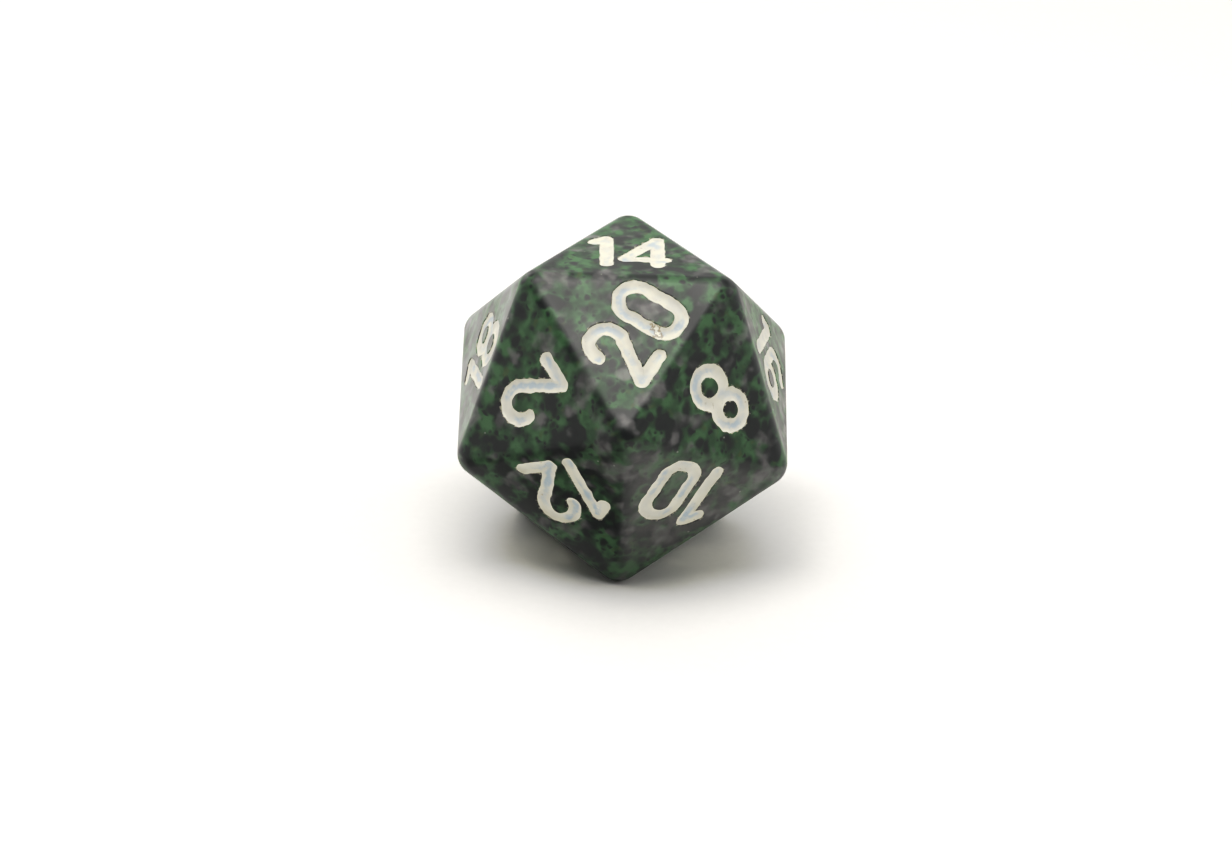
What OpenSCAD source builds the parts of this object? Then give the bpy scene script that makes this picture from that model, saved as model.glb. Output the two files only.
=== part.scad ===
// Twenty-sided die, resting on the face numbered 7 with the 14 uppermost.
// Millimetres. The origin is the middle of the face it rests on, +Z is up,
// and the edge between the 14 and the 20 faces runs along X, on the -Y side.

/* [Body] */
// Distance between two opposite faces
across_faces = 20; // [12:0.5:34]
// Width lost from each face along an edge, where tumbling has broken the edge
edge_break = 0.2; // [0.05:0.05:0.5]
// How far the worn corner lies inside the sharp one, measured from the middle
corner_wear = 0.3; // [0.1:0.05:0.6]

/* [Numbers] */
// Width of the engraved stroke
stroke_w = 0.92; // [0.5:0.02:1.2]
// Depth of the engraved stroke below the face
stroke_depth = 0.45; // [0.2:0.05:0.8]
// Half the width of a digit, to the middle of its strokes
digit_half_w = 1.08; // [0.8:0.04:1.2]
// Clear gap between the two digits of a number
digit_gap = 0.42; // [0.2:0.02:0.6]
// How far the paint lies below the face
paint_recess = 0.06; // [0.02:0.02:0.3]

/* [Hidden] */
$fn = 64;

BODY_COLOUR = [0.12, 0.24, 0.16];
PAINT_COLOUR = [0.85, 0.84, 0.76];

// A regular icosahedron, sized by the distance between opposite faces.
golden = (1 + sqrt(5)) / 2;
inradius = across_faces / 2;
edge = inradius * 4 * sqrt(3) / (3 + sqrt(5));
corner_radius = edge * sqrt(golden * sqrt(5)) / 2;
end_ring_r = edge / sqrt(3);
middle_ring_r = golden * edge / sqrt(3);
middle_ring_z = sqrt(corner_radius * corner_radius - middle_ring_r * middle_ring_r);

// Corners 0 to 2 are the ring on the table and 3 to 5 the ring above it.
// Corner 11 - i is opposite corner i, through the middle of the die.
function ring_point(r, angle, z) = [r * cos(angle), r * sin(angle), z];
function corner(i) =
    i > 5 ? -corner(11 - i)
    : i > 2 ? ring_point(middle_ring_r, 90 + 120 * (i - 3), -middle_ring_z)
    : ring_point(end_ring_r, 270 + 120 * i, -inradius);

// The corners of the faces 2, 4, ... 20, the first being the one the number points up to.
EVEN_FACES = [
    [4, 8, 10],
    [6, 10, 11],
    [7, 11, 9],
    [5, 9, 8],
    [0, 5, 8],
    [0, 8, 4],
    [11, 10, 9],
    [7, 9, 5],
    [6, 4, 10],
    [10, 8, 9],
];
// Opposite faces add up to 21.
function face_corners(n) =
    n % 2 == 0 ? EVEN_FACES[n / 2 - 1] : [for (i = face_corners(21 - n)) 11 - i];

// A face's own axes: x along the foot of its number, y up the number, z outwards.
function unit(v) = v / norm(v);
function face_points(n) = [for (i = face_corners(n)) corner(i)];
function face_middle(n) = let (p = face_points(n)) (p[0] + p[1] + p[2]) / 3;
function face_z(n) = unit(face_middle(n));
function face_x(n) = unit(cross(face_points(n)[0] - face_middle(n), face_middle(n)));

// Turns what it holds so that its x and z axes point along the unit vectors x and z.
module turned(x, z) {
    y = cross(z, x);
    multmatrix([
        [x[0], y[0], z[0], 0],
        [x[1], y[1], z[1], 0],
        [x[2], y[2], z[2], 0],
        [0, 0, 0, 1],
    ]) children();
}

module on_face(n) {
    translate(face_middle(n) + [0, 0, inradius]) turned(face_x(n), face_z(n)) children();
}

// One edge from each pair of opposite edges, as its two corners.
EDGES = [
    for (i = [0:10]) for (j = [i + 1:11])
        if (i + j < 11 && norm(corner(i) - corner(j)) < 1.1 * edge) [corner(i), corner(j)]
];
// The cosine of half the angle between two faces that meet.
half_dihedral_cos = 1 / (golden * sqrt(3));
edge_flat_r = golden * edge / 2 - edge_break * half_dihedral_cos;

// The space between two parallel planes, each at the distance r from the middle.
module slab(x, z, r) {
    turned(x, z) cube([4 * inradius, 4 * inradius, 2 * r], center = true);
}

// The solid blank: flat faces, a narrow flat along each worn edge, and round corners.
module blank() {
    translate([0, 0, inradius]) intersection() {
        sphere(r = corner_radius - corner_wear);
        intersection_for(n = [1:10]) slab(face_x(n), face_z(n), inradius);
        intersection_for(e = EDGES) slab(unit(e[1] - e[0]), unit(e[0] + e[1]), edge_flat_r);
    }
}

// One straight stroke with round ends, from point a to point b.
module line_stroke(a, b, depth) {
    run = b - a;
    translate([a[0], a[1], 0]) rotate([0, 0, atan2(run[1], run[0])]) {
        translate([0, -stroke_w / 2, 0]) cube([norm(run), stroke_w, depth]);
        cylinder(d = stroke_w, h = depth);
        translate([norm(run), 0, 0]) cylinder(d = stroke_w, h = depth);
    }
}

// The end of a curved stroke: flat, half a disc on a free end, or a whole disc where strokes join.
module arc_end(kind, depth) {
    if (kind == "free") rotate_extrude(angle = 180) square([stroke_w / 2, depth]);
    if (kind == "joint") cylinder(d = stroke_w, h = depth);
}

// One curved stroke about centre c, from angle a1 to angle a2.
module arc_stroke(c, r, a1, a2, ends, depth) {
    translate([c[0], c[1], 0]) {
        rotate([0, 0, a1]) rotate_extrude(angle = a2 - a1)
            translate([r - stroke_w / 2, 0]) square([stroke_w, depth]);
        rotate([0, 0, a1]) translate([r, 0, 0]) rotate([0, 0, 180]) arc_end(ends[0], depth);
        rotate([0, 0, a2]) translate([r, 0, 0]) arc_end(ends[1], depth);
    }
}

// Digits are drawn in half-widths: x from -1 to 1 and y from -2 to 2.
// A stroke is ["line", from, to] or ["arc", centre, radius, start angle, end angle, kinds of end].
function line(a, b) = ["line", a, b];
function arc(c, r, a1, a2, ends = ["joint", "joint"]) = ["arc", c, r, a1, a2, ends];

DIGITS = [
    [arc([0, 1], 1, 0, 180), line([-1, 1], [-1, -1]), arc([0, -1], 1, 180, 360), line([1, -1], [1, 1])],
    [line([0.37, 2], [0.37, -2]), line([0.37, 2], [-0.37, 1.4])],
    [
        arc([0, 1], 1, -30, 185, ["flat", "free"]),
        line([cos(-30), 1 + sin(-30)], [-0.95, -2]),
        line([-0.95, -2], [1, -2]),
    ],
    [
        arc([0, 1.05], 0.95, -100, 160, ["joint", "free"]),
        arc([0, -0.95], 1.05, -160, 80, ["free", "joint"]),
    ],
    [line([0.8, 2], [-1.2, -1.15]), line([-1.2, -1.15], [1.2, -1.15]), line([0.8, 2], [0.8, -2])],
    [
        line([0.85, 2], [-0.8, 2]),
        line([-0.8, 2], [-0.9, 0]),
        arc([0, -0.95], 1.05, -155, 115, ["free", "free"]),
    ],
    [
        arc([0, 1], 1, 20, 180, ["free", "joint"]),
        line([-1, 1], [-1, -1]),
        arc([0, -1], 1, 0, 360, ["flat", "flat"]),
    ],
    [line([-1, 2], [1, 2]), line([1, 2], [-0.35, -2])],
    [
        arc([0, 1.05], 0.95, 0, 360, ["flat", "flat"]),
        arc([0, -0.98], 1.02, 0, 360, ["flat", "flat"]),
    ],
    [
        arc([0, -1], 1, 200, 360, ["free", "joint"]),
        line([1, -1], [1, 1]),
        arc([0, 1], 1, 0, 360, ["flat", "flat"]),
    ],
];
// Half the width of each digit, 0 to 9, for spacing.
HALF_WIDTHS = [1, 0.37, 1, 1, 1, 1, 1, 1, 1, 1];
// The dot that tells a 6 from a 9 stands at the foot of the number.
DOT_AT = [2.05, -2];
// How far the middle of each number, 1 to 20, lies across and up from the middle of its face.
NUMBER_SHIFTS = [
    [0, 0], [0.15, 0.2], [0, 0], [0, 0], [0, 0],
    [-0.5, 0], [0, 0], [-0.2, 0.2], [-0.5, 0], [0, -0.7],
    [0, -0.3], [-0.25, -0.5], [0, -0.4], [-0.1, 0.45], [0, -0.4],
    [-0.2, 0.2], [0, -0.4], [0, -0.45], [0, -0.4], [0.25, -0.4],
];

module digit(d, depth) {
    for (s = DIGITS[d])
        if (s[0] == "line")
            line_stroke(s[1] * digit_half_w, s[2] * digit_half_w, depth);
        else
            arc_stroke(s[1] * digit_half_w, s[2] * digit_half_w, s[3], s[4], s[5], depth);
}

module dot(depth) {
    translate([DOT_AT[0] * digit_half_w, DOT_AT[1] * digit_half_w, 0])
        cylinder(d = stroke_w, h = depth);
}

// A whole number in its face's axes, standing on z = 0 and as tall as the depth it is given.
module number(n, depth) {
    tens = floor(n / 10);
    ones = n % 10;
    tens_half = HALF_WIDTHS[tens] * digit_half_w;
    ones_half = HALF_WIDTHS[ones] * digit_half_w;
    gap = stroke_w + digit_gap;
    translate([NUMBER_SHIFTS[n - 1][0], NUMBER_SHIFTS[n - 1][1], 0]) {
        if (tens > 0) {
            translate([-gap / 2 - ones_half, 0, 0]) digit(tens, depth);
            translate([gap / 2 + tens_half, 0, 0]) digit(ones, depth);
        } else {
            digit(ones, depth);
        }
        if (n == 6 || n == 9) dot(depth);
    }
}

module die_body() {
    color(BODY_COLOUR) difference() {
        blank();
        for (n = [1:20])
            on_face(n) translate([0, 0, -stroke_depth]) number(n, 2 * stroke_depth);
    }
}

// The paint in one face's number, lying in the bottom of its groove.
module number_paint(n) {
    color(PAINT_COLOUR)
        on_face(n) translate([0, 0, -stroke_depth]) number(n, stroke_depth - paint_recess);
}

die_body();
for (n = [1:20])
    number_paint(n);
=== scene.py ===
"""A twenty-sided die of speckled plastic, with tumbled edges and painted, engraved numbers."""

import math

import bpy
import numpy as np
from mathutils import Matrix, Vector
from mathutils.geometry import delaunay_2d_cdt


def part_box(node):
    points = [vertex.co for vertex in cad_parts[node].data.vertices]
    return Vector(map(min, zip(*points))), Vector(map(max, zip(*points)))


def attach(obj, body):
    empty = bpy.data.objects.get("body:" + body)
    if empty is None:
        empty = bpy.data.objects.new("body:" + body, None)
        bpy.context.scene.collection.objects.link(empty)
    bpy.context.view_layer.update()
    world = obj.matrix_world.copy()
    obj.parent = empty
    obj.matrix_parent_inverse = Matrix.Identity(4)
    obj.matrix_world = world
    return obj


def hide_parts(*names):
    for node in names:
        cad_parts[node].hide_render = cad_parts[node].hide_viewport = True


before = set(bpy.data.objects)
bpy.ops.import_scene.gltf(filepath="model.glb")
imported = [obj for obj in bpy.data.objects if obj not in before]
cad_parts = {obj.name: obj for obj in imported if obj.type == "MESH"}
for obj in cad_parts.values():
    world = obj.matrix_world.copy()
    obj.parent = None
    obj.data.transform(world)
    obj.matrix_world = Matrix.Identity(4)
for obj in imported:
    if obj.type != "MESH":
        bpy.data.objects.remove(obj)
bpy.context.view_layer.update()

# Lengths here are in millimetres and are turned into metres when a mesh or a light is made.
MM = 0.001
BODY_NODE = "die_body"
NUMBERS = range(1, 21)

# ---------------------------------------------------------------- the solid, from the frame

low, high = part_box(BODY_NODE)
ACROSS_FACES = (high.z - low.z) / MM
CENTRE = np.array((low + high) / 2) / MM

GOLDEN = (1 + math.sqrt(5)) / 2
INRADIUS = ACROSS_FACES / 2
EDGE = INRADIUS * 4 * math.sqrt(3) / (3 + math.sqrt(5))
CORNER_RADIUS = EDGE * math.sqrt(GOLDEN * math.sqrt(5)) / 2
FACE_INRADIUS = EDGE / (2 * math.sqrt(3))
END_RING_R = EDGE / math.sqrt(3)
MIDDLE_RING_R = GOLDEN * END_RING_R
MIDDLE_RING_Z = math.sqrt(CORNER_RADIUS**2 - MIDDLE_RING_R**2)

# The corners of the faces 2, 4, ... 20, the first being the one the number points up to.
EVEN_FACES = [
    (4, 8, 10), (6, 10, 11), (7, 11, 9), (5, 9, 8), (0, 5, 8),
    (0, 8, 4), (11, 10, 9), (7, 9, 5), (6, 4, 10), (10, 8, 9),
]  # fmt: skip


def corner(i):
    """Corners 0 to 2 are the ring on the table and 3 to 5 the next; 11 - i is opposite i."""
    if i > 5:
        return -corner(11 - i)
    first, radius, z = (90, MIDDLE_RING_R, -MIDDLE_RING_Z) if i > 2 else (270, END_RING_R, -INRADIUS)
    angle = math.radians(first + 120 * (i % 3))
    return np.array((radius * math.cos(angle), radius * math.sin(angle), z))


def face_corners(n):
    """Opposite faces add up to 21."""
    return EVEN_FACES[n // 2 - 1] if n % 2 == 0 else [11 - i for i in face_corners(21 - n)]


def face_axes(n):
    """A face's middle, and its own axes as columns: x along the number's foot, y up it, z outwards."""
    points = [corner(i) for i in face_corners(n)]
    middle = sum(points) / 3
    z = middle / np.linalg.norm(middle)
    y = (points[0] - middle) / np.linalg.norm(points[0] - middle)
    return middle + CENTRE, np.column_stack((np.cross(y, z), y, z))


# ---------------------------------------------------------------- the numbers' strokes

# Half the width of a plain digit between the middles of its strokes.
DIGIT_HALF_W = 1.08
# The gap between the strokes of two digits, and half the width of a stroke.
DIGIT_GAP = 0.42
HALF_STROKE = 0.46
# In half widths of a digit: the dot that tells a 6 from a 9, and each digit's share of the spacing.
DOT_AT = (2.05, -2.0)
HALF_WIDTHS = (1, 0.37, 1, 1, 1, 1, 1, 1, 1, 1)
# Where the arc of a 2 turns into its straight stroke.
TWO_TURN = math.radians(-30)
# The digits 0 to 9, in half widths: a line's two ends, or an arc's middle, radius and two angles.
DIGITS = [
    [("arc", (0, 1), 1, 0, 180), ("line", (-1, 1), (-1, -1)),
     ("arc", (0, -1), 1, 180, 360), ("line", (1, -1), (1, 1))],
    [("line", (0.37, 2), (0.37, -2)), ("line", (0.37, 2), (-0.37, 1.4))],
    [("arc", (0, 1), 1, -30, 185), ("line", (-0.95, -2), (1, -2)),
     ("line", (math.cos(TWO_TURN), 1 + math.sin(TWO_TURN)), (-0.95, -2))],
    [("arc", (0, 1.05), 0.95, -100, 160), ("arc", (0, -0.95), 1.05, -160, 80)],
    [("line", (0.8, 2), (-1.2, -1.15)), ("line", (-1.2, -1.15), (1.2, -1.15)),
     ("line", (0.8, 2), (0.8, -2))],
    [("line", (0.85, 2), (-0.8, 2)), ("line", (-0.8, 2), (-0.9, 0)),
     ("arc", (0, -0.95), 1.05, -155, 115)],
    [("arc", (0, 1), 1, 20, 180), ("line", (-1, 1), (-1, -1)), ("arc", (0, -1), 1, 0, 360)],
    [("line", (-1, 2), (1, 2)), ("line", (1, 2), (-0.35, -2))],
    [("arc", (0, 1.05), 0.95, 0, 360), ("arc", (0, -0.98), 1.02, 0, 360)],
    [("arc", (0, -1), 1, 200, 360), ("line", (1, -1), (1, 1)), ("arc", (0, 1), 1, 0, 360)],
]  # fmt: skip
# How far a number's middle lies across and up from the middle of its face.
NUMBER_SHIFTS = {
    2: (0.15, 0.2), 6: (-0.5, 0), 8: (-0.2, 0.2), 9: (-0.5, 0), 10: (0, -0.7), 11: (0, -0.3),
    12: (-0.25, -0.5), 13: (0, -0.4), 14: (-0.1, 0.45), 15: (0, -0.4), 16: (-0.2, 0.2),
    17: (0, -0.4), 18: (0, -0.45), 19: (0, -0.4), 20: (0.25, -0.4),
}  # fmt: skip


def digit_strokes(digit, at):
    strokes = []
    for kind, first, *rest in DIGITS[digit]:
        moved = np.array(first) * DIGIT_HALF_W + at
        if kind == "line":
            strokes.append((kind, moved, np.array(rest[0]) * DIGIT_HALF_W + at))
        else:
            strokes.append((kind, moved, rest[0] * DIGIT_HALF_W, *np.radians(rest[1:])))
    return strokes


def number_strokes(n):
    at = np.array(NUMBER_SHIFTS.get(n, (0, 0)), float)
    tens, ones = divmod(n, 10)
    if tens:
        half_gap = HALF_STROKE + DIGIT_GAP / 2
        left = at - (half_gap + HALF_WIDTHS[ones] * DIGIT_HALF_W, 0)
        right = at + (half_gap + HALF_WIDTHS[tens] * DIGIT_HALF_W, 0)
        return digit_strokes(tens, left) + digit_strokes(ones, right)
    strokes = digit_strokes(ones, at)
    if n in (6, 9):
        dot = np.array(DOT_AT) * DIGIT_HALF_W + at
        strokes.append(("line", dot, dot))
    return strokes


def stroke_distance(points, strokes):
    """How far each point of the face's plane is from the middle line of the nearest stroke."""
    nearest = np.full(len(points), np.inf)
    for kind, first, *rest in strokes:
        if kind == "line":
            run = rest[0] - first
            length = max(run @ run, 1e-12)
            along = np.clip((points - first) @ run / length, 0, 1)
            d = np.linalg.norm(points - first - along[:, None] * run, axis=1)
        else:
            radius, start, end = rest
            out = points - first
            turn = (np.arctan2(out[:, 1], out[:, 0]) - start) % (2 * math.pi)
            ring = np.abs(np.linalg.norm(out, axis=1) - radius)
            tips = [first + radius * np.array((math.cos(a), math.sin(a))) for a in (start, end)]
            ends = np.minimum(*(np.linalg.norm(points - tip, axis=1) for tip in tips))
            d = np.where(turn <= end - start, ring, ends)
        nearest = np.minimum(nearest, d)
    return nearest


# ---------------------------------------------------------------- raggedness of a cut edge

# The waver's waves: how many, their shortest and longest lengths, and the swing of one 1 mm long.
WAVES = 14
WAVE_LENGTHS = (0.3, 1.4)
WAVE_SWING = 0.01
WAVE_SEED = 1000


class Number:
    """One face's number: its strokes, and the slight waver of the line they were cut along."""

    def __init__(self, n):
        rng = np.random.default_rng(WAVE_SEED + n)
        self.strokes = number_strokes(n)
        wavelength = rng.uniform(*WAVE_LENGTHS, WAVES)
        heading = rng.uniform(0, 2 * math.pi, WAVES)
        self.pull = 2 * math.pi / wavelength * np.array((np.cos(heading), np.sin(heading)))
        self.phase = rng.uniform(0, 2 * math.pi, WAVES)
        self.swing = WAVE_SWING * wavelength**0.5

    def distance(self, points):
        """How far each point is from the strokes' middle lines, as the wavering cut would have it."""
        waver = np.sin(points @ self.pull + self.phase) @ self.swing
        return stroke_distance(points, self.strokes) + waver

    def span(self, margin):
        """The lowest and highest corners of a box round the strokes."""
        ends = []
        for kind, first, *rest in self.strokes:
            reach = rest[0] if kind == "arc" else 0
            ends += [first - reach, first + reach] + ([rest[0]] if kind == "line" else [])
        return np.min(ends, axis=0) - margin, np.max(ends, axis=0) + margin


# ---------------------------------------------------------------- the shape of the skin

# Radii of the tumbled edges and corners, and how far from a corner its own radius begins to show.
EDGE_ROUND = 1.35
CORNER_ROUND = 1.5
CORNER_REACH = 2.6
# A groove's depth, how square its floor is, and the height over which its rim is softened.
GROOVE_DEPTH = 0.42
GROOVE_POWER = 2.6
RIM_BLEND = 0.1
# Half the width of the paint, how far its middle dips below its rim, and its gap from the groove.
PAINT_HALF_W = 0.435
PAINT_DIP = 0.12
PAINT_FLOOR = 0.004
# Either side of a point, how far off its slope is measured.
SLOPE_STEP = 0.002


def triangle_tips(inradius):
    angles = np.radians((90, 210, 330))
    return 2 * inradius * np.column_stack((np.cos(angles), np.sin(angles)))


def nearest_in_triangle(points, inradius):
    """The nearest point to each in the triangle with that inradius, its middle at the origin."""
    tips = triangle_tips(inradius)
    best, best_d = points.copy(), np.full(len(points), np.inf)
    inside = np.ones(len(points), bool)
    for i in range(3):
        a, run = tips[i], tips[(i + 1) % 3] - tips[i]
        inside &= run[0] * (points[:, 1] - a[1]) - run[1] * (points[:, 0] - a[0]) >= 0
        along = np.clip((points - a) @ run / (run @ run), 0, 1)
        on = a + along[:, None] * run
        d = np.linalg.norm(points - on, axis=1)
        closer = d < best_d
        best[closer], best_d[closer] = on[closer], d[closer]
    best[inside] = points[inside]
    return best


def rolled(points, radius):
    """The sharp face's points, moved on to the solid whose edges and corners have that radius."""
    core = nearest_in_triangle(points, FACE_INRADIUS * (1 - radius / INRADIUS))
    out = np.column_stack((points - core, np.full(len(points), radius)))
    out *= radius / np.linalg.norm(out, axis=1)[:, None]
    return np.column_stack((core, np.full(len(points), -radius))) + out


def groove_depth(distance):
    """Height of the skin above the face across a stroke: a round-bottomed cut with a softened rim."""
    cut = GROOVE_DEPTH * ((np.maximum(distance, 0) / HALF_STROKE) ** GROOVE_POWER - 1)
    near = np.maximum(RIM_BLEND - np.abs(cut), 0) / RIM_BLEND
    return np.minimum(cut, 0) - near**2 * RIM_BLEND / 4


def paint_top(distance):
    """Height of the paint across a stroke, dipping between the walls that it clings to."""
    across = np.clip(np.maximum(distance, 0) / PAINT_HALF_W, 0, 1)
    rim = groove_depth(np.array([PAINT_HALF_W]))[0] + PAINT_FLOOR
    return rim - PAINT_DIP * (1 - across**2)


def eased(part):
    """A part from 0 to 1, with a smooth start and end."""
    return part**2 * (3 - 2 * part)


def blank_point(points):
    """Points of the face's plane on the tumbled die before it is engraved."""
    tips = triangle_tips(FACE_INRADIUS)
    to_tip = np.min([np.linalg.norm(points - tip, axis=1) for tip in tips], axis=0)
    corner_part = eased(np.clip(1 - to_tip / CORNER_REACH, 0, 1))[:, None]
    return (1 - corner_part) * rolled(points, EDGE_ROUND) + corner_part * rolled(points, CORNER_ROUND)


def body_point(points, number):
    out = blank_point(points)
    out[:, 2] += groove_depth(number.distance(points))
    return out


def paint_point(points, number, top):
    """Points of the paint's top, or of its underside, which keeps clear of the groove."""
    out = blank_point(points)
    d = number.distance(points)
    out[:, 2] += paint_top(d) if top else np.minimum(groove_depth(d) + PAINT_FLOOR, paint_top(d))
    return out


def normals_of(shape, points, *args):
    """Normals of a shape over the face's plane, from its slope either side of each point."""
    slopes = []
    for axis in ((SLOPE_STEP, 0), (0, SLOPE_STEP)):
        slopes.append(shape(points + axis, *args) - shape(points - axis, *args))
    out = np.cross(slopes[0], slopes[1])
    return out / np.linalg.norm(out, axis=1)[:, None]


# ---------------------------------------------------------------- contours and triangles

# The grid that contours are found on, and how far apart the points along them are.
GRID_STEP = 0.06
CONTOUR_STEP = 0.13
# Distances from the middle of a stroke at which the skin and the paint have a contour.
BODY_LEVELS = (0.6, 0.502, 0.48, 0.46, 0.44, 0.38, 0.24)
PAINT_LEVELS = (PAINT_HALF_W, 0.4, 0.33, 0.22, 0.1)
# Pulls that bring points on to a contour, the step their slope is measured over, and its least square.
PULLS = 3
PULL_STEP = 1e-4
LEAST_SLOPE_SQUARED = 0.25
# Points along a face's edge, how they crowd towards its corners, and how far in each ring lies.
EDGE_STEPS = 48
EDGE_CROWDING = 0.75
EDGE_INSETS = (0, 0.06, 0.13, 0.2, 0.27, 0.34, 0.41, 0.48, 0.56, 0.66, 0.8)
# Points this close are one, triangles this small are flat, and welding rounds to these decimals.
SAME_POINT = 1e-5
FLAT_AREA = 1e-9
WELD_DECIMALS = 4


def pull_to_level(points, number, level):
    """Moves points on to the line at that distance, down the slope of the distance."""
    for _ in range(PULLS):
        miss = number.distance(points) - level
        slope = np.column_stack(
            [(number.distance(points + a) - number.distance(points - a)) / (2 * PULL_STEP)
             for a in ((PULL_STEP, 0), (0, PULL_STEP))]
        )  # fmt: skip
        steep = np.maximum((slope**2).sum(1), LEAST_SLOPE_SQUARED)
        points = points - (miss / steep)[:, None] * slope
    return points


def contours(number, level):
    """Closed loops of points at that distance from the strokes, evenly spaced."""
    lo, hi = number.span(level + 3 * GRID_STEP)
    nx, ny = (np.ceil((hi - lo) / GRID_STEP).astype(int) + 1).tolist()
    xs, ys = lo[0] + GRID_STEP * np.arange(nx), lo[1] + GRID_STEP * np.arange(ny)
    grid = np.stack(np.meshgrid(xs, ys, indexing="ij"), axis=-1)
    field = number.distance(grid.reshape(-1, 2)).reshape(nx, ny) - level
    field[field == 0] = 1e-9
    inside = field < 0
    count = inside[:-1, :-1].astype(int) + inside[1:, :-1] + inside[:-1, 1:] + inside[1:, 1:]
    links = {}
    places = {}

    # Where the contour crosses one side of a cell.
    def crossing(a, b):
        key = (a, b) if a < b else (b, a)
        if key not in places:
            fa, fb = field[a], field[b]
            places[key] = grid[a] + (grid[b] - grid[a]) * fa / (fa - fb)
        return key

    for i, j in zip(*np.nonzero((count > 0) & (count < 4))):
        i, j = int(i), int(j)
        ring = ((i, j), (i + 1, j), (i + 1, j + 1), (i, j + 1))
        cuts = [crossing(a, b) for a, b in zip(ring, ring[1:] + ring[:1]) if inside[a] != inside[b]]
        if len(cuts) == 4 and not inside[ring[0]]:
            cuts = cuts[1:] + cuts[:1]
        for a, b in zip(cuts[::2], cuts[1::2]):
            links.setdefault(a, []).append(b)
            links.setdefault(b, []).append(a)

    loops = []
    left = set(links)
    for start in list(links):
        if start not in left:
            continue
        loop, here, before = [], start, None
        while here in left:
            left.discard(here)
            loop.append(places[here])
            onward = [k for k in links[here] if k != before]
            before, here = here, onward[0]
        loops.append(even_loop(np.array(loop), number, level))
    return loops


def even_loop(loop, number, level):
    """The loop with its points evenly spaced, and pulled on to the contour."""
    closed = np.vstack((loop, loop[:1]))
    run = np.concatenate(([0], np.cumsum(np.linalg.norm(np.diff(closed, axis=0), axis=1))))
    count = max(8, round(run[-1] / CONTOUR_STEP))
    at = np.linspace(0, run[-1], count, endpoint=False)
    even = np.column_stack([np.interp(at, run, closed[:, k]) for k in range(2)])
    return pull_to_level(even, number, level)


def edge_rings():
    """Nested triangles that follow the rounded edges; the outermost is shared with the next faces."""
    u = np.linspace(0, 1, EDGE_STEPS, endpoint=False)
    t = u - EDGE_CROWDING * np.sin(2 * math.pi * u) / (2 * math.pi)
    rings = []
    for inset in EDGE_INSETS:
        tips = triangle_tips(FACE_INRADIUS - inset)
        sides = [tips[i] + t[:, None] * (tips[(i + 1) % 3] - tips[i]) for i in range(3)]
        rings.append(np.vstack(sides))
    return rings


def triangulate(loops):
    """Triangles over the loops' points, with every loop kept as a line of edges."""
    edges, start = [], 0
    for loop in loops:
        edges += [(start + i, start + (i + 1) % len(loop)) for i in range(len(loop))]
        start += len(loop)
    given = np.vstack(loops)
    vectors = [Vector(p) for p in given]
    made, _, faces, sources, _, _ = delaunay_2d_cdt(vectors, edges, [], 0, SAME_POINT, True)
    xy = np.array([given[source[0]] if source else tuple(p) for p, source in zip(made, sources)])
    triangles = np.array([tuple(face) for face in faces])
    # Points in line along a straight outer side get flat triangles outside it.
    a, b, c = (xy[triangles[:, k]] for k in range(3))
    area = ((b[:, 0] - a[:, 0]) * (c[:, 1] - a[:, 1]) - (b[:, 1] - a[:, 1]) * (c[:, 0] - a[:, 0])) / 2
    return xy, triangles[np.abs(area) > FLAT_AREA]


def rim_of(triangles):
    """The points on the open edges of a sheet of triangles."""
    sides = np.sort(np.vstack([triangles[:, (a, b)] for a, b in ((0, 1), (1, 2), (2, 0))]), axis=1)
    sides, uses = np.unique(sides, axis=0, return_counts=True)
    return np.unique(sides[uses == 1])


def weld(parts):
    """Joins the faces' meshes where they share the points of an edge."""
    points = np.vstack([p[0] for p in parts])
    starts = np.cumsum([0] + [len(p[0]) for p in parts])
    triangles = np.vstack([p[1] + s for p, s in zip(parts, starts)])
    rounded = np.round(points, WELD_DECIMALS)
    _, first, same = np.unique(rounded, axis=0, return_index=True, return_inverse=True)
    triangles = same.reshape(-1)[triangles]
    kept = [triangles[:, a] != triangles[:, b] for a, b in ((0, 1), (1, 2), (2, 0))]
    return first, triangles[kept[0] & kept[1] & kept[2]]


def make_mesh(name, points, triangles, normals, values):
    """A mesh in metres with smooth exact normals and the named values at its points."""
    mesh = bpy.data.meshes.new(name)
    mesh.from_pydata((points * MM).tolist(), [], triangles.tolist())
    mesh.validate()
    mesh.shade_smooth()
    mesh.normals_split_custom_set_from_vertices(normals.tolist())
    for label, data in values.items():
        layer = mesh.attributes.new(label, "FLOAT", "POINT")
        layer.data.foreach_set("value", np.asarray(data, np.float32))
    obj = bpy.data.objects.new(name, mesh)
    bpy.context.scene.collection.objects.link(obj)
    return obj


# How much painted sheen, a pale haze of reflected light, each face has where it differs from the edges, and
# how far in it is fully its own.
SHEEN_BY_FACE = {2: 0.15, 8: 0.1, 10: 1.25, 12: 0, 14: 0.05, 16: 0.3, 18: 0.6, 20: 0.15}
EDGE_SHEEN = 0.15
SHEEN_FADE = 1.1


def painted_sheen(points, n):
    """How much painted sheen the skin has over a face, fading from the face's own value to that of the
    edges.
    """
    tips = triangle_tips(1) / 2
    from_edge = FACE_INRADIUS - np.max(-points @ tips.T, axis=1)
    inner = eased(np.clip(from_edge / SHEEN_FADE, 0, 1))
    return EDGE_SHEEN + (SHEEN_BY_FACE.get(n, EDGE_SHEEN) - EDGE_SHEEN) * inner


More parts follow.
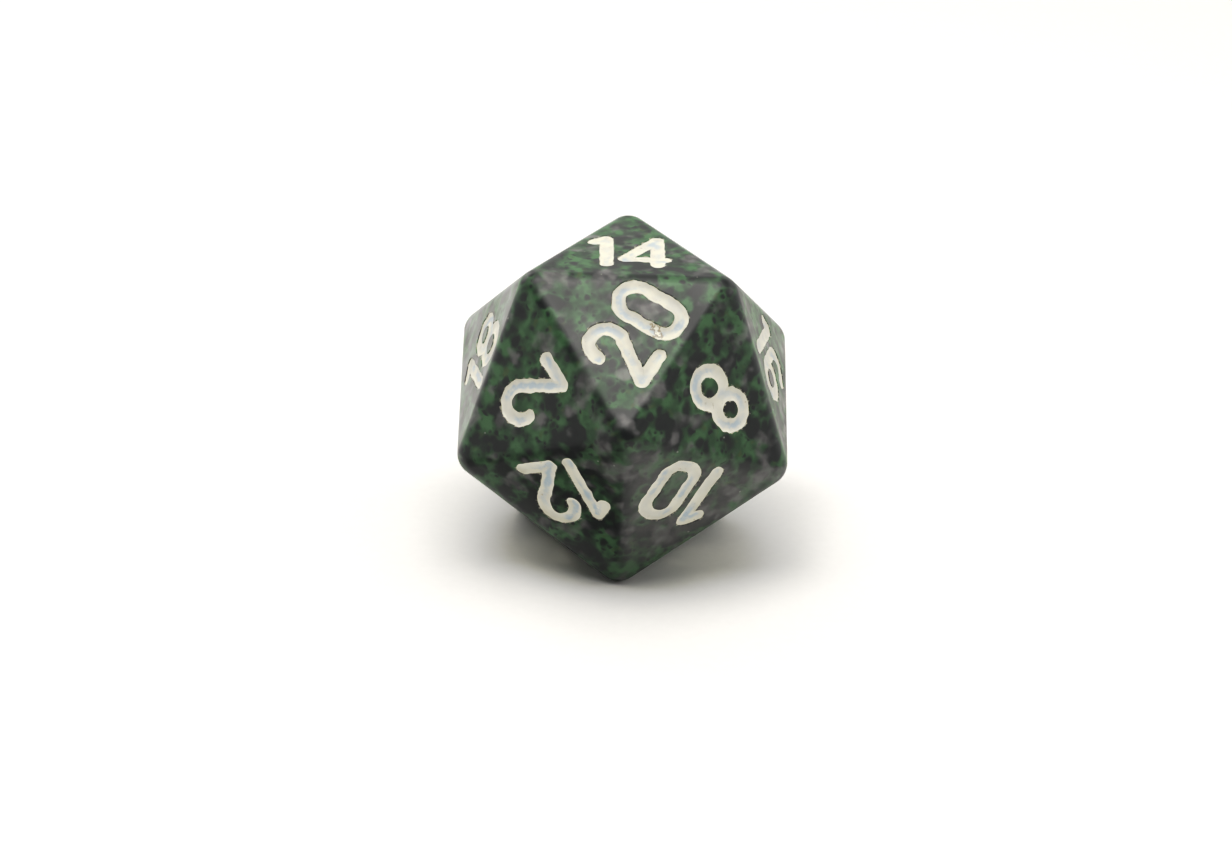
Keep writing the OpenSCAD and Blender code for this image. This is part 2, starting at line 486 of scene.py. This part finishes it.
def build_body():
    """The moulding as one skin: twenty engraved faces, each rolled half way over its edges."""
    rings = edge_rings()
    parts, normals, gaps, sheens = [], [], [], []
    for n in NUMBERS:
        number = Number(n)
        loops = list(rings)
        for level in BODY_LEVELS:
            loops += contours(number, level)
        xy, triangles = triangulate(loops)
        middle, axes = face_axes(n)
        parts.append((body_point(xy, number) @ axes.T + middle, triangles))
        normals.append(normals_of(body_point, xy, number) @ axes.T)
        gaps.append(number.distance(xy) - HALF_STROKE)
        sheens.append(painted_sheen(xy, n))
    first, triangles = weld(parts)
    points, facing = np.vstack([p[0] for p in parts])[first], np.vstack(normals)[first]
    values = {"stroke_gap": np.concatenate(gaps)[first], "painted_sheen": np.concatenate(sheens)[first]}
    return make_mesh("body", points, triangles, facing, values)


def build_paint(n):
    """The paint in one number, a closed film whose top and underside share the points of its rim."""
    number = Number(n)
    loops = []
    for level in PAINT_LEVELS:
        loops += contours(number, level)
    xy, triangles = triangulate(loops)
    middles = xy[triangles].mean(axis=1)
    triangles = triangles[number.distance(middles) < PAINT_LEVELS[0]]
    distance = number.distance(xy)
    at_rim = np.isin(np.arange(len(xy)), rim_of(triangles))
    triangles = triangles[~at_rim[triangles].all(axis=1)]
    top = paint_point(xy, number, True)
    bottom = paint_point(xy, number, False)
    bottom[at_rim] = top[at_rim]
    under = np.where(at_rim, np.arange(len(xy)), np.arange(len(xy)) + len(xy))
    middle, axes = face_axes(n)
    points = np.vstack((top, bottom)) @ axes.T + middle
    facing = np.vstack(
        (normals_of(paint_point, xy, number, True), -normals_of(paint_point, xy, number, False))
    )
    both = np.vstack((triangles, under[triangles][:, ::-1]))
    used = np.unique(both)
    index = np.full(len(points), -1)
    index[used] = np.arange(len(used))
    across = np.concatenate((distance, distance)) / PAINT_HALF_W
    return make_mesh(
        f"paint_{n}", points[used], index[both], (facing @ axes.T)[used], {"across": across[used]}
    )


# ---------------------------------------------------------------- camera

FOCAL_MM, SENSOR_MM = 127.7, 36.0
CLIP_METRES = (0.01, 10)
# Degrees round the die from -Y, up from the floor, and of tilt. The slide is across and up.
CAMERA_AZIMUTH, CAMERA_ELEVATION, CAMERA_ROLL = -0.85, 24.15, 2.23
CAMERA_DISTANCE = 284.6
CAMERA_SLIDE = (-0.49, -1.99)


def make_camera():
    az, el, roll = (math.radians(a) for a in (CAMERA_AZIMUTH, CAMERA_ELEVATION, CAMERA_ROLL))
    back = Vector((math.sin(az) * math.cos(el), -math.cos(az) * math.cos(el), math.sin(el)))
    level_right = Vector((0, 0, 1)).cross(back).normalized()
    level_up = back.cross(level_right)
    right = level_right * math.cos(roll) + level_up * math.sin(roll)
    up = level_up * math.cos(roll) - level_right * math.sin(roll)
    place = Vector(CENTRE) + back * CAMERA_DISTANCE + right * CAMERA_SLIDE[0] + up * CAMERA_SLIDE[1]
    data = bpy.data.cameras.new("camera")
    data.lens, data.sensor_width, data.sensor_fit = FOCAL_MM, SENSOR_MM, "HORIZONTAL"
    data.clip_start, data.clip_end = CLIP_METRES
    camera = bpy.data.objects.new("camera", data)
    bpy.context.scene.collection.objects.link(camera)
    turn = Matrix((right, up, back)).transposed().to_4x4()
    camera.matrix_world = Matrix.Translation(place * MM) @ turn
    bpy.context.scene.camera = camera


# ---------------------------------------------------------------- materials


class Nodes:
    """Short ways to add and join shader nodes."""

    def __init__(self, owner, shader="Principled BSDF"):
        self.owner = owner
        owner.use_nodes = True
        self.tree = owner.node_tree
        self.shader = self.tree.nodes[shader]

    def add(self, kind, inputs=None, **settings):
        node = self.tree.nodes.new(kind)
        for key, value in settings.items():
            setattr(node, key, value)
        for key, value in (inputs or {}).items():
            self.feed(node.inputs[key], value)
        return node

    def feed(self, socket, value):
        if isinstance(value, bpy.types.NodeSocket):
            self.tree.links.new(value, socket)
        else:
            socket.default_value = value

    def math(self, operation, a, b=0.0, clamp=False):
        node = self.add("ShaderNodeMath", operation=operation, use_clamp=clamp)
        self.feed(node.inputs[0], a)
        self.feed(node.inputs[1], b)
        return node.outputs[0]

    def step(self, value, start, end, low=0.0, high=1.0):
        """value turned smoothly from low, at start, to high, at end."""
        node = self.add("ShaderNodeMapRange", interpolation_type="SMOOTHSTEP")
        for socket, fed in zip(node.inputs, (value, start, end, low, high)):
            self.feed(socket, fed)
        return node.outputs[0]

    def mix(self, factor, a, b, blend="MIX"):
        node = self.add("ShaderNodeMix", data_type="RGBA", blend_type=blend)
        self.feed(node.inputs[0], factor)
        self.feed(node.inputs[6], a)
        self.feed(node.inputs[7], b)
        return node.outputs[2]

    def place(self, scale, shift=(0, 0, 0), stretch=(1, 1, 1)):
        """The point on the object, in millimetres times scale, as a texture coordinate."""
        point = self.add("ShaderNodeTexCoord").outputs["Object"]
        moved = self.add("ShaderNodeMapping", {"Vector": point, "Location": shift})
        moved.inputs["Scale"].default_value = [scale * s / MM for s in stretch]
        return moved.outputs[0]

    def noise(self, scale, detail=2.0, rough=0.5, shift=(0, 0, 0), stretch=(1, 1, 1), twist=0.0, at=None):
        vector = self.place(scale, shift, stretch) if at is None else at
        inputs = {"Vector": vector, "Scale": 1.0, "Detail": detail, "Roughness": rough, "Distortion": twist}
        return self.add("ShaderNodeTexNoise", inputs).outputs["Fac"]

    def cells(self, scale, shift=(0, 0, 0), at=None, **settings):
        vector = self.place(scale, shift) if at is None else at
        return self.add("ShaderNodeTexVoronoi", {"Vector": vector, "Scale": 1.0}, **settings)

    def bump(self, height, distance, strength=1.0, over=None):
        inputs = {"Height": height, "Distance": distance * MM, "Strength": strength}
        if over is not None:
            inputs["Normal"] = over
        return self.add("ShaderNodeBump", inputs).outputs[0]

    def attribute(self, name):
        return self.add("ShaderNodeAttribute", attribute_name=name).outputs["Fac"]


WHITE, BLACK = (1, 1, 1, 1), (0, 0, 0, 1)
NEAR_BLACK = (0.0075, 0.0085, 0.012, 1)
DEEP_GREEN = (0.022, 0.062, 0.027, 1)
LEAF_GREEN = (0.052, 0.135, 0.056, 1)
DARK_GREY = (0.07, 0.07, 0.072, 1)
PALE_GREY = (0.16, 0.158, 0.16, 1)
OLIVE = (0.06, 0.085, 0.028, 1)
SMEAR_CREAM = (0.42, 0.41, 0.33, 1)
DUST = (0.3, 0.31, 0.27, 1)
# The pale grey of the painted sheen, reflected light on the faces.
SHEEN_GREY = (0.2, 0.196, 0.19, 1)
# Black specks: how many cells of the pattern fit in a millimetre, and a speck's radius in cells.
SPECKS = ((1.2, 0.46), (2.0, 0.4))
# How far the pattern's lines are bent, in millimetres.
BEND = 0.35
PLASTIC_IOR = 1.49


def speckled_resin():
    m = Nodes(bpy.data.materials.new("speckled_resin"))
    # Wavering places the specks on bent lines, so that none is a true circle.
    waver = m.add("ShaderNodeTexNoise", {"Vector": m.place(1.7), "Scale": 1.0, "Detail": 1.5})
    centred = m.add("ShaderNodeVectorMath", operation="SUBTRACT")
    m.feed(centred.inputs[0], waver.outputs["Color"])
    centred.inputs[1].default_value = (0.5,) * 3
    bent = m.add("ShaderNodeVectorMath", operation="MULTIPLY_ADD")
    m.feed(bent.inputs[0], centred.outputs[0])
    bent.inputs[1].default_value = (BEND,) * 3
    m.feed(bent.inputs[2], m.place(1.0))
    at = bent.outputs[0]

    # The bent point on the object, with the pattern's scale and shift.
    def spread(scale, shift):
        node = m.add("ShaderNodeMapping", {"Vector": at, "Location": shift})
        node.inputs["Scale"].default_value = (scale,) * 3
        return node.outputs[0]

    fine = m.noise(1, 1.5, 0.5, at=spread(1.2, (1.0, 5.0, 2.0)))
    green = m.mix(m.step(fine, 0.36, 0.66), DEEP_GREEN, LEAF_GREEN)
    olive = m.step(m.noise(1, 1.0, at=spread(1.5, (4, 4, 9))), 0.6, 0.76, 0, 0.6)
    green = m.mix(olive, green, OLIVE)

    crowd = m.noise(1, 1.3, 0.45, at=spread(0.78, (3.1, 0.4, 7.7)))
    dark = m.step(crowd, 0.44, 0.62)
    for i, (scale, size) in enumerate(SPECKS):
        speck = m.cells(1, at=spread(scale, (5 * i, 1 + 7 * i, 2 - 3 * i)))
        random = m.add("ShaderNodeSeparateColor", {"Color": speck.outputs["Color"]})
        crowded = m.math("ADD", random.outputs[0], m.step(crowd, 0.3, 0.55, -0.25, 0.3))
        full_radius = m.step(random.outputs[1], 0, 1, 0.6 * size, size)
        radius = m.math("MULTIPLY", full_radius, m.step(crowded, 0.42, 0.55))
        inside = m.math("SUBTRACT", radius, speck.outputs["Distance"])
        dark = m.math("MAXIMUM", dark, m.step(inside, -0.19, 0.22))
    colour = m.mix(m.math("MULTIPLY", dark, 0.95), green, NEAR_BLACK)

    grey = m.mix(m.step(fine, 0.35, 0.65), DARK_GREY, PALE_GREY)
    patch = m.noise(1, 1.5, 0.5, at=spread(0.7, (9.3, 2.2, 4.6)))
    colour = m.mix(m.step(patch, 0.52, 0.72, 0, 0.85), colour, grey)

    dust = m.cells(0.62, (2, 9, 4))
    speckle = m.step(dust.outputs["Distance"], 0.055, 0.03, 0, 0.7)
    colour = m.mix(speckle, colour, DUST)

    # Painted sheen: a faint pale haze of reflected light in cloudy patches, more on some faces than on
    # others.
    cloudy = m.step(m.noise(0.9, 4, 0.6, (7, 2, 5)), 0.25, 0.75, 0.12, 0.3)
    sheen_mask = m.math("MULTIPLY", m.attribute("painted_sheen"), cloudy)
    colour = m.mix(sheen_mask, colour, SHEEN_GREY)

    # Paint left by wiping clings in broken flecks just outside the strokes.
    gap = m.attribute("stroke_gap")
    reach = m.step(m.noise(4.2, 2.5, 0.6, (2, 7, 1)), 0.42, 0.72, -0.03, 0.09)
    smear = m.step(m.math("SUBTRACT", reach, gap), -0.02, 0.04, 0, 0.8)
    m.feed(m.shader.inputs["Base Color"], m.mix(smear, colour, SMEAR_CREAM))

    wear = m.noise(0.35, 3, 0.6, (8, 3, 3))
    m.feed(m.shader.inputs["Roughness"], m.step(wear, 0.3, 0.7, 0.3, 0.4))
    m.shader.inputs["IOR"].default_value = PLASTIC_IOR
    grain = m.bump(m.noise(9.0, 3, 0.6), 0.004, 0.5)
    scratches = m.noise(1.0, 2, 0.7, (3, 2, 1), (0.7, 9.0, 9.0))
    m.feed(m.shader.inputs["Normal"], m.bump(scratches, 0.004, 0.5, grain))
    return m.owner


PAINT_CREAM = (0.77, 0.75, 0.62, 1)
PAINT_PALE = (0.69, 0.675, 0.58, 1)
# Painted highlight: the rims of the strokes, lighter where the paint on the groove's walls catches the
# light.
PAINT_RIM_HIGHLIGHT = (0.82, 0.805, 0.68, 1)
# Bluish grey of thin paint in a stroke's middle, partly a painted reflection.
PAINT_THIN_AND_REFLECTION = (0.45, 0.53, 0.58, 1)
PAINT_DIRT = (0.22, 0.16, 0.09, 1)
# The two ends of a chip in the paint of the 0 of the 20.
CHIP_ENDS = ((1.68, -6.42, 17.68), (1.88, -6.74, 17.38))


def number_paint():
    m = Nodes(bpy.data.materials.new("number_paint"))
    across = m.attribute("across")
    uneven = m.noise(1.6, 2.5, 0.6)
    edge = m.math("ADD", across, m.step(uneven, 0.3, 0.7, -0.2, 0.2))
    colour = m.mix(m.step(m.noise(0.8, 2, 0.5, (5, 5, 1)), 0.4, 0.62), PAINT_PALE, PAINT_CREAM)
    # Paint drawn to the walls leaves the middle of a stroke thin here and there, and its bluish grey there
    # is partly a painted reflection.
    here_and_there = m.step(m.noise(0.5, 1, 0.5, (1, 8, 3)), 0.42, 0.6, 0.1, 1.0)
    thin_and_reflection = m.math("MULTIPLY", m.step(edge, 0.6, 0.1), here_and_there)
    colour = m.mix(thin_and_reflection, colour, PAINT_THIN_AND_REFLECTION)
    # Painted highlight along the rims of the strokes.
    colour = m.mix(m.step(edge, 0.6, 1.0, 0, 0.7), colour, PAINT_RIM_HIGHLIGHT)
    dirt = m.step(m.noise(4.0, 2, 0.6, (6, 1, 1)), 0.66, 0.78, 0, 0.4)
    colour = m.mix(dirt, colour, PAINT_DIRT)

    to_ends = [
        m.add("ShaderNodeVectorMath", {0: m.place(1), 1: end}, operation="DISTANCE").outputs["Value"]
        for end in CHIP_ENDS
    ]
    from_chip = m.math("MINIMUM", *to_ends)
    from_chip = m.math("ADD", from_chip, m.step(m.noise(3.5, 2, 0.6, (2, 2, 2)), 0.3, 0.7, -0.12, 0.12))
    colour = m.mix(m.step(from_chip, 0.38, 0.24, 0, 0.75), colour, PAINT_DIRT)
    # Painted highlight: a bright dot in the middle of the chip.
    colour = m.mix(m.step(from_chip, 0.22, 0.14), colour, PAINT_RIM_HIGHLIGHT)
    m.feed(m.shader.inputs["Base Color"], colour)
    m.feed(m.shader.inputs["Roughness"], m.step(m.noise(2.2, 2, 0.5), 0.3, 0.7, 0.36, 0.52))
    ripple = m.bump(m.noise(3.0, 3, 0.6, (1, 1, 4)), 0.02, 0.6)
    m.feed(m.shader.inputs["Normal"], ripple)
    return m.owner


PAPER_SHADE = (0.915, 0.912, 0.905, 1)
PAPER_LIGHT = (0.93, 0.927, 0.92, 1)


def sweep_paper():
    m = Nodes(bpy.data.materials.new("sweep_paper"))
    fibre = m.noise(1.6, 4, 0.6)
    m.feed(m.shader.inputs["Base Color"], m.mix(m.step(fibre, 0.3, 0.7), PAPER_SHADE, PAPER_LIGHT))
    m.shader.inputs["Roughness"].default_value = 0.9
    m.shader.inputs["Specular IOR Level"].default_value = 0.1
    m.feed(m.shader.inputs["Normal"], m.bump(m.noise(5, 3, 0.6), 0.01, 0.15))
    return m.owner


# ---------------------------------------------------------------- floor and lights

FLOOR_RADIUS = 230.0
FLOOR_POINTS = 96


def make_floor():
    mesh = bpy.data.meshes.new("sweep")
    angles = np.linspace(0, 2 * math.pi, FLOOR_POINTS, endpoint=False)
    rim = [(FLOOR_RADIUS * MM * math.cos(a), FLOOR_RADIUS * MM * math.sin(a), 0) for a in angles]
    mesh.from_pydata(rim, [], [tuple(range(FLOOR_POINTS))])
    floor = bpy.data.objects.new("sweep", mesh)
    mesh.materials.append(sweep_paper())
    bpy.context.scene.collection.objects.link(floor)


LIGHT_COLOUR = (1, 0.975, 0.935)

# A light tent: each panel's azimuth, elevation, distance, width, height and radiance.
PANELS = {
    "top": (0, 90, 260, 160, 160, 2.6),
    "top_front": (0, 62, 260, 200, 110, 0.4),
    "top_key": (0, 76, 260, 120, 100, 3.3),
    "top_front_left": (-55, 68, 260, 140, 120, 3.7),
    "top_left": (-90, 60, 260, 160, 150, 1.0),
    "top_right": (90, 60, 260, 160, 150, 1.0),
    "top_back": (180, 62, 260, 200, 140, 1.0),
    "front_right": (50, 35, 300, 200, 120, 0.9),
    "left": (-95, 28, 300, 200, 120, 0.8),
    "right": (95, 28, 300, 200, 120, 2.2),
    "back": (180, 28, 300, 200, 130, 1.15),
    "back_left": (-140, 25, 300, 180, 120, 2.8),
    "back_right": (140, 25, 300, 180, 120, 1.3),
    "low_left": (-73, 11, 320, 160, 80, 1.2),
    "low_right": (74, 11, 320, 160, 80, 0.85),
}
# Cards that only the gloss of the plastic sees: each one's middle, size and brightness.
CARDS = {
    "dark_card": (-22, -30, 44, 42, 0.15),
    "bright_card": (-40, 50, 60, 60, 1.7),
}
CARD_HEIGHT = 0.2


def panel(name, azimuth, elevation, distance, width, height, radiance):
    """A soft light facing the die. Azimuth 0 is the camera's side, and radiance 1 shows as white."""
    az, el = math.radians(azimuth), math.radians(elevation)
    away = Vector((math.sin(az) * math.cos(el), -math.cos(az) * math.cos(el), math.sin(el)))
    data = bpy.data.lights.new(name, "AREA")
    data.shape, data.size, data.size_y = "RECTANGLE", width * MM, height * MM
    data.energy = radiance * math.pi * width * height * MM * MM
    data.color = LIGHT_COLOUR
    light = bpy.data.objects.new(name, data)
    turn = away.to_track_quat("Z", "Y").to_matrix().to_4x4()
    light.matrix_world = Matrix.Translation((Vector(CENTRE) + away * distance) * MM) @ turn
    light.visible_camera = False
    bpy.context.scene.collection.objects.link(light)


def card(name, x, y, width, depth, brightness):
    """A glowing card just over the floor that shows only in reflections."""
    corners = [(x + i * width / 2, y + j * depth / 2) for i, j in ((-1, -1), (1, -1), (1, 1), (-1, 1))]
    mesh = bpy.data.meshes.new(name)
    mesh.from_pydata([(cx * MM, cy * MM, CARD_HEIGHT * MM) for cx, cy in corners], [], [(0, 1, 2, 3)])
    glow = Nodes(bpy.data.materials.new(name))
    glow.shader.inputs["Base Color"].default_value = BLACK
    glow.shader.inputs["Specular IOR Level"].default_value = 0
    glow.shader.inputs["Emission Color"].default_value = (*LIGHT_COLOUR, 1)
    glow.shader.inputs["Emission Strength"].default_value = brightness
    mesh.materials.append(glow.owner)
    sheet = bpy.data.objects.new(name, mesh)
    for ray in ("camera", "diffuse", "shadow", "transmission", "volume_scatter"):
        setattr(sheet, f"visible_{ray}", False)
    bpy.context.scene.collection.objects.link(sheet)


def make_lights():
    for name, values in PANELS.items():
        panel(name, *values)
    for name, values in CARDS.items():
        card(name, *values)


# In a direction of length 1: the heights where the wall fades out, and the depths where it fades in.
WALL_FADES_UP = (0.2, 0.1)
WALL_FADES_IN = (-0.2, 0.2)


def make_world():
    """White past the edge of the floor, and the tent's far wall, low down, in the gloss of the plastic."""
    world = Nodes(bpy.data.worlds.new("studio"), "Background")
    ray = world.add("ShaderNodeLightPath")
    direction = world.add("ShaderNodeTexCoord").outputs["Generated"]
    towards = world.add("ShaderNodeSeparateXYZ", {0: direction})
    wall = world.math(
        "MULTIPLY",
        world.step(towards.outputs["Z"], *WALL_FADES_UP),
        world.step(towards.outputs["Y"], *WALL_FADES_IN),
    )
    wall = world.math("MULTIPLY", wall, ray.outputs["Is Glossy Ray"])
    world.feed(world.shader.inputs["Strength"], world.math("MAXIMUM", wall, ray.outputs["Is Camera Ray"]))
    world.shader.inputs["Color"].default_value = WHITE
    bpy.context.scene.world = world.owner


# The tone curve of a photograph, from light to shown brightness: deep shadows and held-back highlights.
TONE_CURVE = ((0.03, 0.02), (0.08, 0.058), (0.2, 0.17), (0.4, 0.45), (0.7, 0.72))
ALL_COLOURS_CURVE = 3


def set_tones():
    view = bpy.context.scene.view_settings
    view.view_transform = "Standard"
    view.use_curve_mapping = True
    for light, shown in TONE_CURVE:
        view.curve_mapping.curves[ALL_COLOURS_CURVE].points.new(light, shown)
    view.curve_mapping.update()


# ---------------------------------------------------------------- the scene

make_camera()
set_tones()

resin = speckled_resin()
body = build_body()
body.data.materials.append(resin)
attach(body, "root")
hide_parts(BODY_NODE)

paint = number_paint()
for n in NUMBERS:
    fill = build_paint(n)
    fill.data.materials.append(paint)
    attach(fill, "root")
    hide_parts(f"number_paint_{n}")

make_floor()
make_lights()
make_world()
